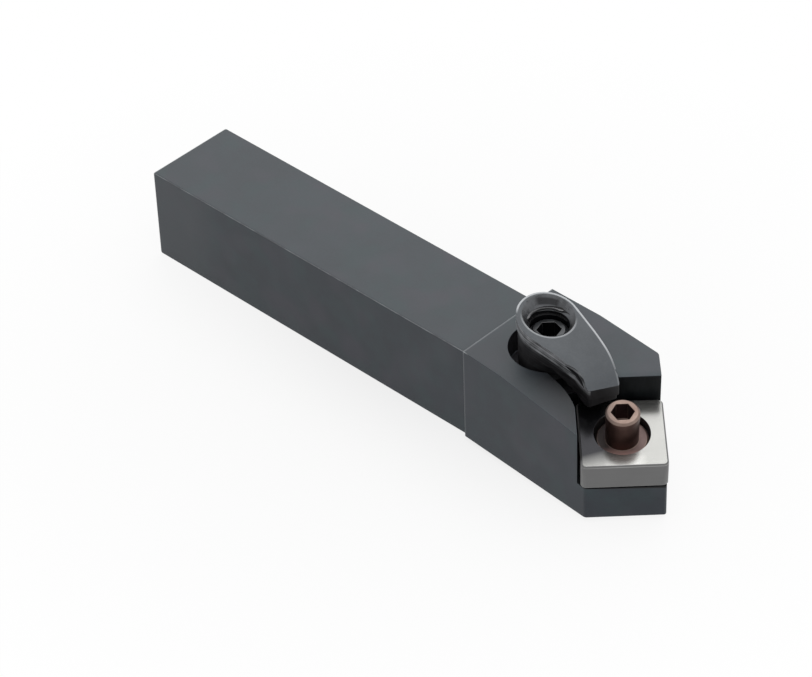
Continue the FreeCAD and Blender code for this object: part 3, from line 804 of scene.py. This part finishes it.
@dataclass
class Holder:
    """The shank and head, with the seat plate that lies in its pocket."""

    body: DressedNode = DressedNode("holder_body", "holder", Ride.HOLDER, Slot.BLACK, 0.10 * MM)
    plate: DressedNode = DressedNode("shim", "seat_plate", Ride.HOLDER, Slot.BRIGHT, 0.04 * MM)
    near_wall: float = 6.8
    far_wall: float = 7.05
    relief_reach: float = 1.0
    wall_tolerance: float = 0.2
    floor_tolerance: float = 0.05
    recess_limit: float = 5.45
    recess_reach: float = 14.0
    recess_radius: float = 6.3
    slot_half_width: float = 5.0
    shoulder: float = 68.2
    plate_hole_radius: float = 5.0

    def in_pocket(self, place: Vector, normal: Vector) -> bool:
        """Tell whether a face in the seat's frame is a wall, the relief or the floor of the pocket.

        Args:
            place: The face's middle.
            normal: The face's normal.

        Returns:
            Whether it is.
        """
        near, far = place.x + self.near_wall, place.y - self.far_wall
        return (abs(near) < self.wall_tolerance and normal.x > WALL
                or abs(far) < self.wall_tolerance and normal.y < -WALL
                or math.hypot(near, far) < self.relief_reach and abs(normal.z) < WALL
                or abs(place.z) < self.floor_tolerance and normal.z > FLAT)

    def in_recess(self, place: Vector, normal: Vector) -> bool:
        """Tell whether a face in the finger's frame lies in the round recess, its slot or a hole in them.

        Args:
            place: The face's middle.
            normal: The face's normal.

        Returns:
            Whether it does.
        """
        beside_slot = abs(place.x) > self.recess_radius and abs(place.y) > self.slot_half_width
        if place.xy.length > self.recess_reach or abs(place.y) > self.recess_radius or beside_slot:
            return False
        return place.z < self.recess_limit or abs(normal.z) < WALL

    def on_shank_chamfer(self, place: Vector, normal: Vector) -> bool:
        """Tell whether a face is one of the shank's sloping edge breaks."""
        return WALL < abs(normal.z) < FLAT and place.x < self.shoulder

    def on_plate_side(self, place: Vector, normal: Vector) -> bool:
        """Tell whether a face in the seat's frame is neither the plate's top nor its bottom."""
        return abs(normal.z) < FLAT

    def in_plate_hole(self, place: Vector, normal: Vector) -> bool:
        """Tell whether a face in the seat's frame is a wall of the plate's hole."""
        return abs(normal.z) < FLAT and place.xy.length < self.plate_hole_radius

    @staticmethod
    def beside_slot(graph: Graph) -> Signal:
        """Painted shade on the top beside the slot's near wall, where the clamp overhangs."""
        x, y, _ = graph.local(FINGER)
        return y.clip(-9.6, -4.4) * y.clip(-3.0, -3.6) * x.clip(1.5, 5.5) * 0.95

    @staticmethod
    def painted_shade_near_top(graph: Graph) -> Signal:
        """Painted shade that makes the near side of the head's top slightly darker."""
        x, y, _ = graph.local(WHOLE)
        return x.clip(66.0, 69.5) * y.clip(1.0, -5.0) * 0.22

    def step_highlight_band(self, graph: Graph) -> Signal:
        """The painted highlight along the head's step, fainter below the top."""
        x, _, z = graph.local(Matrix.Translation((self.shoulder * MM, 0.0, 0.0)))
        return x.clip(-0.06, 0.0) * x.clip(0.34, 0.16) * (z.clip(8.9, 9.2) * 0.14 + 0.12)

    @staticmethod
    def head_edges(graph: Graph) -> Signal:
        """The head's edges in front of the step, where the skin is whole."""
        x, _, _ = graph.local(WHOLE)
        return x.clip(68.6, 69.4)

    @staticmethod
    def painted_light_back_end(graph: Graph) -> Signal:
        """Painted light that makes the back end of the shank's sides lighter."""
        x, _, _ = graph.local(WHOLE)
        return x.clip(16.0, 8.0) * 0.5

    @staticmethod
    def shadow_under_plate(graph: Graph) -> Signal:
        """Painted shadow under the plate's front edge, wider towards the cutting corner."""
        x, y, z = graph.local(SEAT)
        return (z + x * 0.027 + 0.21).clip(0.0, 0.08) * y.clip(-5.6, -5.9) * z.clip(0.3, 0.1)

    @staticmethod
    def painted_shade_corner(graph: Graph) -> Signal:
        """Painted shade and dark reflection on the plate's top, towards the pocket's near wall."""
        x, y, _ = graph.local(SEAT)
        return (y - x * 0.3).clip(-5.8, -2.2) * x.clip(1.0, -3.0)

    @staticmethod
    def painted_light_front(graph: Graph) -> Signal:
        """Painted light on the plate's top in front of the lock pin, lightening the pin's reflection there.
        """
        x, y, _ = graph.local(SEAT)
        return y.clip(-3.6, -4.8) * x.clip(-3.2, -1.6) * x.clip(3.4, 1.6) * 0.7

    def build(self) -> None:
        """Build the holder and its plate."""
        self.build_body()
        self.build_plate()

    def build_body(self) -> None:
        """Build the shank and head: black oxide with painted shade and light, the pocket's and slot's walls
        darkened by painted shade, and worn edges.
        """
        # Painted highlight along the head's step, on the top and on the sides.
        painted_step_highlight = Shade((0.42, 0.44, 0.46), self.step_highlight_band)
        # Painted shadow under the plate's front edge, on the sides and on the rounded edges.
        plate_shadow = Shade((0.002, 0.002, 0.003), self.shadow_under_plate)
        # On the top: painted shade beside the slot and on the near side, and the step's painted highlight.
        top = BlackOxide(shades=(Shade((0.003, 0.003, 0.004), self.beside_slot),
                                 Shade((0.010, 0.012, 0.016), self.painted_shade_near_top), painted_step_highlight))
        # Painted shade: the sides are a darker copy of the black oxide, with painted light towards the back
        # end.
        side = BlackOxide(dark=(0.024, 0.030, 0.039), light=(0.035, 0.043, 0.054),
                          shades=(Shade((0.066, 0.075, 0.084), self.painted_light_back_end), painted_step_highlight, plate_shadow))
        edge = WornEdge(shades=(Shade((0.05, 0.058, 0.066), self.head_edges), plate_shadow))
        # Painted highlight: a lighter worn-edge finish on the shank's sloping chamfers.
        chamfer = WornEdge(colour=(0.19, 0.20, 0.212))
        # Painted shade: the walls and floor of the recess and slot, and the pocket's walls, are near-black.
        slot_walls = ShadedCutterWall(dark=(0.022, 0.021, 0.024), light=(0.050, 0.049, 0.055))
        self.body.build(top.material("black_oxide"), edge.material("worn_black"), [
            Coat(side.material("black_oxide_side_shaded"), lambda place, normal: abs(normal.z) < WALL),
            Coat(chamfer.material("shank_chamfer_highlight"), within(WHOLE, self.on_shank_chamfer)),
            Coat(slot_walls.material("slot_wall_shaded"), within(FINGER, self.in_recess)),
            Coat(ShadedCutterWall().material("pocket_wall_shaded"), within(SEAT, self.in_pocket))])

    def build_plate(self) -> None:
        """Build the seat plate: ground top with painted shade and light, dull sides and a stepped hole
        darkened by painted shade.
        """
        # Painted light in front of the pin, and painted shade and dark reflection towards the near wall,
        # also on the rim.
        ground = GroundSteel(shades=(Shade((0.55, 0.55, 0.53), self.painted_light_front),
                                     Shade((0.032, 0.032, 0.035), self.painted_shade_corner)))
        rim = GroundSteel(colour=(0.40, 0.40, 0.39), roughness=0.32,
                          shades=(Shade((0.03, 0.03, 0.033), self.painted_shade_corner),))
        sides = GroundSteel(colour=(0.165, 0.165, 0.165), roughness=0.44, metallic=0.25)
        # Painted shade: the hole's walls are near-black.
        hole = GroundSteel(colour=(0.020, 0.019, 0.019), roughness=0.40, metallic=0.2)
        self.plate.build(ground.material("ground_steel"), rim.material("plate_edge"), [
            Coat(sides.material("dull_steel"), within(SEAT, self.on_plate_side)),
            Coat(hole.material("plate_hole_shaded"), within(SEAT, self.in_plate_hole))])


@dataclass
class LockPin:
    """The lock pin with its flange and socket."""

    body: DressedNode = DressedNode("lock_pin", "pin", Ride.PIN, Slot.BROWN, 0.07 * MM)
    flange_limit: float = 4.9
    head_limit: float = 5.5
    socket_radius: float = 1.75
    socket_top: float = 9.35

    def on_flange(self, place: Vector, normal: Vector) -> bool:
        """Tell whether a face in the seat's frame is on the flange's upper side."""
        return place.z < self.flange_limit and normal.z > 0.1

    def on_head(self, place: Vector, normal: Vector) -> bool:
        """Tell whether a face in the seat's frame is on top of the head."""
        return place.z > self.head_limit and normal.z > WALL

    def in_socket(self, place: Vector, normal: Vector) -> bool:
        """Tell whether a face in the seat's frame lies in the hexagon socket."""
        return place.xy.length < self.socket_radius and self.head_limit < place.z < self.socket_top

    @staticmethod
    def shaded_side(graph: Graph) -> Signal:
        """Painted shade on the side of the flange and of the head towards the pocket's near wall."""
        x, y, _ = graph.local(SEAT)
        return x.clip(-0.4, -2.4) * y.clip(-3.6, -1.6)

    @staticmethod
    def flange_front(graph: Graph) -> Signal:
        """Painted light on the front of the flange."""
        x, y, _ = graph.local(SEAT)
        return (y + x * 0.2).clip(-2.0, -3.2) * 0.85

    def build(self) -> None:
        """Build the pin."""
        # Painted shade on the side towards the pocket's near wall.
        light = BrownTemper(dark=(0.18, 0.125, 0.105), light=(0.31, 0.235, 0.198),
                            shades=(Shade((0.13, 0.097, 0.085), self.shaded_side),))
        dark = BrownTemper(dark=(0.075, 0.046, 0.046), light=(0.13, 0.085, 0.08))
        # Painted light on the flange's front and painted shade on its near-wall side.
        ring = BrownTemper(dark=(0.15, 0.098, 0.090), light=(0.24, 0.165, 0.150),
                           roughness=0.5, metallic=0.4,
                           shades=(Shade((0.48, 0.29, 0.26), self.flange_front),
                                   Shade((0.022, 0.014, 0.013), self.shaded_side)))
        self.body.build(BrownTemper().material("brown_temper"), light.material("brown_edge"), [
            Coat(ring.material("brown_ring"), within(SEAT, self.on_flange)),
            # A lighter copy of the brown covers the head's top.
            Coat(light.material("brown_top_lighter"), within(SEAT, self.on_head)),
            Coat(dark.material("brown_socket"), within(SEAT, self.in_socket))])


@dataclass
class FingerClamp:
    """The forged clamp, its bore's thread and the screw that draws it down."""

    body: DressedNode = DressedNode("clamp", "finger_clamp", Ride.CLAMP, Slot.FORGED, 0.14 * MM)
    screw: DressedNode = DressedNode("clamp_screw", "screw", Ride.SCREW, Slot.FORGED, 0.06 * MM)
    bore_radius: float = 3.15
    cone_radius: float = 4.5
    nose_reach: float = 12.0
    rake_rise: float = 0.268
    scallop_start: float = 8.5
    scallop_side: float = -1.5
    scallop_height: float = 14.3
    screw_socket_top: float = 12.3
    screw_socket_radius: float = 1.95
    arm_edge: float = 4.87
    arm_taper: float = 0.0915
    arm_bend: float = 7.9
    arm_curve: float = 0.042
    rim_radius: float = 4.63
    lip_outer: float = 4.30
    lip_inner: float = 3.90
    lip_stretch: float = 1.034
    lip_setback: float = 0.45
    lip_side: float = 0.3

    def in_bore(self, place: Vector, normal: Vector) -> bool:
        """Tell whether a face in the finger's frame belongs to the bore."""
        return place.xy.length < self.bore_radius and abs(normal.z) < 0.1

    def in_cone(self, place: Vector, normal: Vector) -> bool:
        """Tell whether a face in the finger's frame belongs to the countersink."""
        inwards = place.xy.dot(normal.xy) < 0.0
        return inwards and place.xy.length < self.cone_radius and 0.3 < normal.z < FLAT

    def in_scallop(self, place: Vector, normal: Vector) -> bool:
        """Tell whether a face in the finger's frame lies in the nose's side scallop."""
        below = place.z + place.x * self.rake_rise < self.scallop_height
        return below and place.x > self.scallop_start and place.y < self.scallop_side and normal.z > 0.6

    def under_nose(self, place: Vector, normal: Vector) -> bool:
        """Tell whether a face in the finger's frame is on the front of the nose, below its brow."""
        return place.x > self.nose_reach and normal.x > 0.6 and normal.z < 0.4

    def in_screw_socket(self, place: Vector, normal: Vector) -> bool:
        """Tell whether a face in the finger's frame lies in the screw's hexagon socket."""
        return place.z < self.screw_socket_top and place.xy.length < self.screw_socket_radius

    @staticmethod
    def reach(graph: Graph) -> tuple[Signal, Signal, Signal, Signal]:
        """Measure from the boss's axis: along the finger, across it, outwards and to its front right."""
        x, y, _ = graph.local(FINGER)
        return x, y, (x ** 2.0 + y ** 2.0) ** 0.5, x * 0.81 - y * 0.59

    def painted_edge_highlights(self, graph: Graph) -> Signal:
        """Draw painted highlights: bright lines along the arm, round the boss's back rim and on the
        countersink's front lip.

        Args:
            graph: The material's graph.

        Returns:
            1 on the lines and 0 elsewhere.
        """
        x, y, radius, front = self.reach(graph)
        bend = (x - self.arm_bend).at_least(0.0)
        inside = self.arm_edge - x * self.arm_taper - bend ** 2.0 * self.arm_curve - y
        arm = inside.clip(0.34, 0.22) * x.clip(-0.6, 0.4) * (1.0 - x.clip(7.6, 11.0) * 0.75)
        rim = radius.clip(self.rim_radius - 0.10, self.rim_radius)
        rim = rim * front.clip(-0.4, -1.4) * x.clip(1.4, 0.6)
        oval = ((x * self.lip_stretch + self.lip_setback) ** 2.0 + (y - self.lip_side) ** 2.0) ** 0.5
        lip = oval.clip(self.lip_outer, self.lip_outer - 0.10)
        lip = lip * oval.clip(self.lip_inner, self.lip_inner + 0.06) * front.clip(-0.6, 1.6) * 0.55
        return (arm + rim + lip).clip(0.0, 1.0)

    def cone_patch(self, graph: Graph) -> Signal:
        """Painted dark reflection on the back wall of the countersink."""
        _, _, radius, front = self.reach(graph)
        return (front / radius).clip(-0.88, -0.94) * (
            radius.clip(3.50, 3.62) * radius.clip(4.25, 4.08) * 0.85)

    def cone_front(self, graph: Graph) -> Signal:
        """Painted shade on the front half of the countersink."""
        _, _, radius, front = self.reach(graph)
        return (front / radius).clip(-0.40, 0.12) * 0.85

    def below_band(self, graph: Graph) -> Signal:
        """Painted shade on the lower part of the clamp's sides."""
        x, _, z = graph.local(FINGER)
        return (z + x * self.rake_rise).clip(12.9, 11.9) * 0.9

    def build(self) -> None:
        """Build the clamp, the screw and the two arcs of thread."""
        # Painted highlights: bright lines on the skin and on the rounded edges.
        lines = Shade((0.52, 0.54, 0.56), self.painted_edge_highlights)
        edge = WornEdge(colour=(0.13, 0.137, 0.145), shades=(lines,))
        # Painted shade on the lower part of the sides.
        band = TrimmedBlack(shades=(Shade((0.010, 0.009, 0.010), self.below_band),))
        # Painted shade: a dark copy of the forged skin on the nose's front below its brow.
        under = ForgedBlack(dark=(0.018, 0.018, 0.019), light=(0.034, 0.034, 0.036))
        # Painted dark reflection on the countersink's back wall and painted shade on its front half.
        cone = ScrewBlack(colour=(0.070, 0.073, 0.078), roughness=0.28, metallic=0.5,
                          shades=(Shade((0.012, 0.012, 0.014), self.cone_patch),
                                  Shade((0.014, 0.014, 0.016), self.cone_front)))
        # Painted shade: near-black for the bore, the nose's scallop, the screw's socket and the thread's
        # groove.
        bore = ScrewBlack(colour=(0.004, 0.004, 0.005), shine=0.12, metallic=0.0).material("bore_shaded_black")
        # Painted highlight on the thread's crest; the same light finish covers the screw's rounded edges.
        crest = WornEdge(colour=(0.15, 0.15, 0.155), metallic=0.9).material("crest_highlight_and_screw_edge")
        skin = ForgedBlack(shades=(lines,))
        self.body.build(skin.material("forged_black"), edge.material("forged_edge"), [
            Coat(band.material("trimmed_black"), lambda place, normal: abs(normal.z) < WALL),
            Coat(under.material("forged_nose_front_shaded"), within(FINGER, self.under_nose)),
            Coat(bore, within(FINGER, self.in_scallop)),
            Coat(bore, within(FINGER, self.in_bore)),
            Coat(cone.material("countersunk_black"), within(FINGER, self.in_cone))])
        self.screw.build(ScrewBlack().material("screw_black"), crest, [
            Coat(bore, within(FINGER, self.in_screw_socket))])
        BoreThread("thread_low", bottom=12.82 * MM, start=math.radians(48.0), steps=28).build(bore, crest)
        BoreThread("thread_high", bottom=13.88 * MM, start=math.radians(72.0), steps=24).build(bore, crest)


# Stage, light and camera


@dataclass(frozen=True)
class SoftBox:
    """A square lamp that faces the holder, as bright as a white surface times a factor."""

    name: str
    place: Triple
    size: float
    brightness: float
    target: Triple = (0.05, 0.0, 0.0)

    def build(self) -> None:
        """Hang the lamp."""
        data = bpy.data.lights.new(self.name, "AREA")
        data.size = self.size
        data.energy = self.brightness * math.pi * self.size ** 2
        box = bpy.data.objects.new(self.name, data)
        bpy.context.scene.collection.objects.link(box)
        box.location = self.place
        box.rotation_euler = (Vector(self.place) - Vector(self.target)).to_track_quat("Z", "Y").to_euler()


@dataclass
class Studio:
    """A pale floor, a pale world and soft boxes."""

    floor_centre: Triple = (0.05, 0.0, -8.01 * MM)
    floor_size: float = 6.0
    floor_colour: Colour = (0.93, 0.93, 0.93)
    fade_reach: float = 0.09
    white: Colour = (1.0, 1.0, 1.0)
    world_strength: float = 0.50
    lamps: tuple[SoftBox, ...] = (
        SoftBox("overhead", place=(0.10, 0.15, 0.60), size=0.70, brightness=1.15),
        SoftBox("key", place=(-0.36, 0.44, 0.44), size=0.50, brightness=1.2))

    def build(self) -> None:
        """Build the floor, the world and the lamps."""
        self.floor()
        self.world()
        for lamp in self.lamps:
            lamp.build()

    def floor(self) -> None:
        """Lay the pale floor, which fades to white away from the holder where it is seen."""
        deselect_all()
        bpy.ops.mesh.primitive_plane_add(size=self.floor_size, location=self.floor_centre)
        ground = bpy.context.active_object
        ground.name = ground.data.name = "floor"
        graph = Graph(bpy.data.materials.new("pale_floor"))
        diffuse = graph.node("ShaderNodeBsdfDiffuse", None, {"Color": self.floor_colour})
        white = graph.node("ShaderNodeEmission", None, {"Color": self.white, "Strength": 1.0})
        where = graph.node("ShaderNodeTexCoord", output="Object")
        away = graph.node("ShaderNodeVectorMath", {"operation": "LENGTH"}, {0: where}, "Value")
        fade = graph.seen() * (away.clip(0.0, self.fade_reach) * 0.25 + 0.75)
        graph.surface(graph.node("ShaderNodeMixShader", None, {0: fade, 1: diffuse, 2: white}))
        ground.data.materials.append(graph.owner)

    def world(self) -> None:
        """Make the world white where it is seen and softer where it lights."""
        graph = Graph(bpy.data.worlds.new("studio"))
        light, white = (graph.node("ShaderNodeBackground", None, {
            "Color": self.white, "Strength": strength}) for strength in (self.world_strength, 1.0))
        graph.surface(graph.node("ShaderNodeMixShader", None, {0: graph.seen(), 1: light, 2: white}))
        bpy.context.scene.world = graph.owner


@dataclass
class ProductCamera:
    """The camera at the photograph's viewing angle, taken for an 812 by 677 picture."""

    target: Triple = (49.716 * MM, -2.407 * MM, -2.4045 * MM)
    distance: float = 523.30 * MM
    azimuth: float = 45.0701
    elevation: float = 39.3547
    roll: float = -2.2619
    lens: float = 151.6555
    sensor_width: float = 36.0
    clip: tuple[float, float] = (0.01, 20.0)

    def build(self) -> None:
        """Place the camera and make it the scene's own."""
        azimuth, elevation, roll = (math.radians(a) for a in (self.azimuth, self.elevation, self.roll))
        back = Vector((math.sin(azimuth) * math.cos(elevation), -math.cos(azimuth) * math.cos(elevation),
                       math.sin(elevation)))
        level = Vector((0.0, 0.0, 1.0)).cross(back).normalized()
        upright = back.cross(level)
        right = math.cos(roll) * level + math.sin(roll) * upright
        up = math.cos(roll) * upright - math.sin(roll) * level
        data = bpy.data.cameras.new("product_camera")
        data.sensor_fit = "HORIZONTAL"
        data.sensor_width = self.sensor_width
        data.lens = self.lens
        data.clip_start, data.clip_end = self.clip
        camera = bpy.data.objects.new("product_camera", data)
        bpy.context.scene.collection.objects.link(camera)
        turn = Matrix((right, up, back)).transposed().to_4x4()
        camera.matrix_world = Matrix.Translation(Vector(self.target) + back * self.distance) @ turn
        bpy.context.scene.camera = camera


def main() -> None:
    """Build the holder, the studio and the camera."""
    logging.basicConfig(level=logging.INFO, format="%(name)s: %(message)s")
    for part in (Holder(), LockPin(), FingerClamp(), Studio(), ProductCamera()):
        part.build()
        log.info("%s is built", type(part).__name__)
    bpy.context.scene.view_settings.view_transform = "Standard"
    bpy.context.view_layer.update()


if __name__ == "__main__":
    main()
